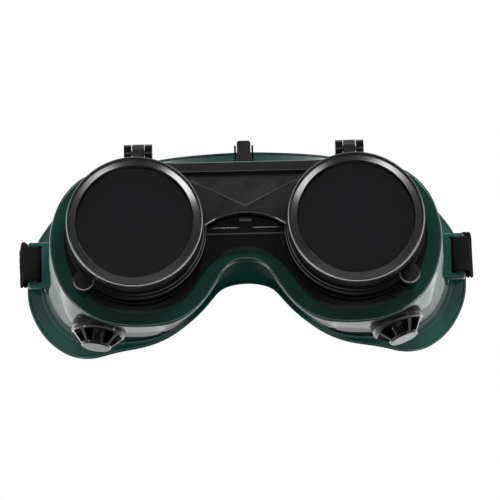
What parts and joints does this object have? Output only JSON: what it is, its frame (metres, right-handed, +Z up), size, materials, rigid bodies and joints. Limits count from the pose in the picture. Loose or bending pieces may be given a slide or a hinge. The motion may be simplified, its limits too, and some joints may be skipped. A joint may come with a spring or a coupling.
{
  "type": "welding goggles",
  "caption": "Flip-front welding goggles: soft green face body, hinged dark round lenses in screw rings over clear lenses, side vents and an elastic head strap.",
  "frame": {"origin": "centre of the face opening on the seal surface, at the bridge of the nose, at the height of the lens axes", "axes": "+X towards the wearer's left along the row of lenses, +Y back to the wearer, +Z up; the lenses face -Y"},
  "size_m": [0.1936, 0.1544, 0.0909],
  "materials": {
    "green_pvc": "glossy soft PVC",
    "black_frame": "glossy",
    "black_flip": "satin",
    "ring_plastic": "satin gloss",
    "vent_plastic": "semi gloss",
    "clip_plastic": "matt",
    "slider_plastic": "matt",
    "gasket_rubber": "matt",
    "black_elastic": "ribbed woven elastic",
    "clear_glass": "clear",
    "cover_glass": "clear",
    "dark_glass": "welding shade",
    "pin_steel": "plain"
  },
  "bodies": {
    "goggles": {"goggle_body": "green_pvc", "lens_frame": "black_frame", "clear_lens_left": "clear_glass", "clear_lens_right": "clear_glass", "lens_clip_left": "clip_plastic", "lens_clip_right": "clip_plastic", "hinge_pin_left": "pin_steel", "hinge_pin_right": "pin_steel", "vent_cap_lower_left": "vent_plastic", "vent_cap_lower_right": "vent_plastic", "vent_cap_upper_left": "vent_plastic", "vent_cap_upper_right": "vent_plastic", "vent_lock_ring_lower_left": "vent_plastic", "vent_lock_ring_lower_right": "vent_plastic", "vent_lock_ring_upper_left": "vent_plastic", "vent_lock_ring_upper_right": "vent_plastic", "head_strap": "black_elastic"},
    "flip_up_frame": {"flip_frame": "black_flip", "cover_lens_left": "cover_glass", "cover_lens_right": "cover_glass", "lens_gasket_left": "gasket_rubber", "lens_gasket_right": "gasket_rubber", "filter_lens_left": "dark_glass", "filter_lens_right": "dark_glass"},
    "ring_left": {"bezel_ring_left": "ring_plastic"},
    "ring_right": {"bezel_ring_right": "ring_plastic"},
    "slider": {"strap_slider": "slider_plastic"}
  },
  "joints": [
    {"name": "flip_up", "type": "hinge", "parent": "goggles", "child": "flip_up_frame", "pos_m": [0, -0.032, 0.0345], "axis": [-1, 0, 0], "range_deg": [0, 100]},
    {"name": "ring_left_turn", "type": "hinge", "parent": "flip_up_frame", "child": "ring_left", "pos_m": [-0.0444, -0.045, 0], "axis": [0, -1, 0], "range_deg": [0, 720]},
    {"name": "ring_right_turn", "type": "hinge", "parent": "flip_up_frame", "child": "ring_right", "pos_m": [0.0444, -0.045, 0], "axis": [0, -1, 0], "range_deg": [0, 720]},
    {"name": "slider_slide", "type": "slide", "parent": "goggles", "child": "slider", "axis": [-0.3192, 0.9477, 0], "range_m": [-0.01, 0.01]}
  ]
}
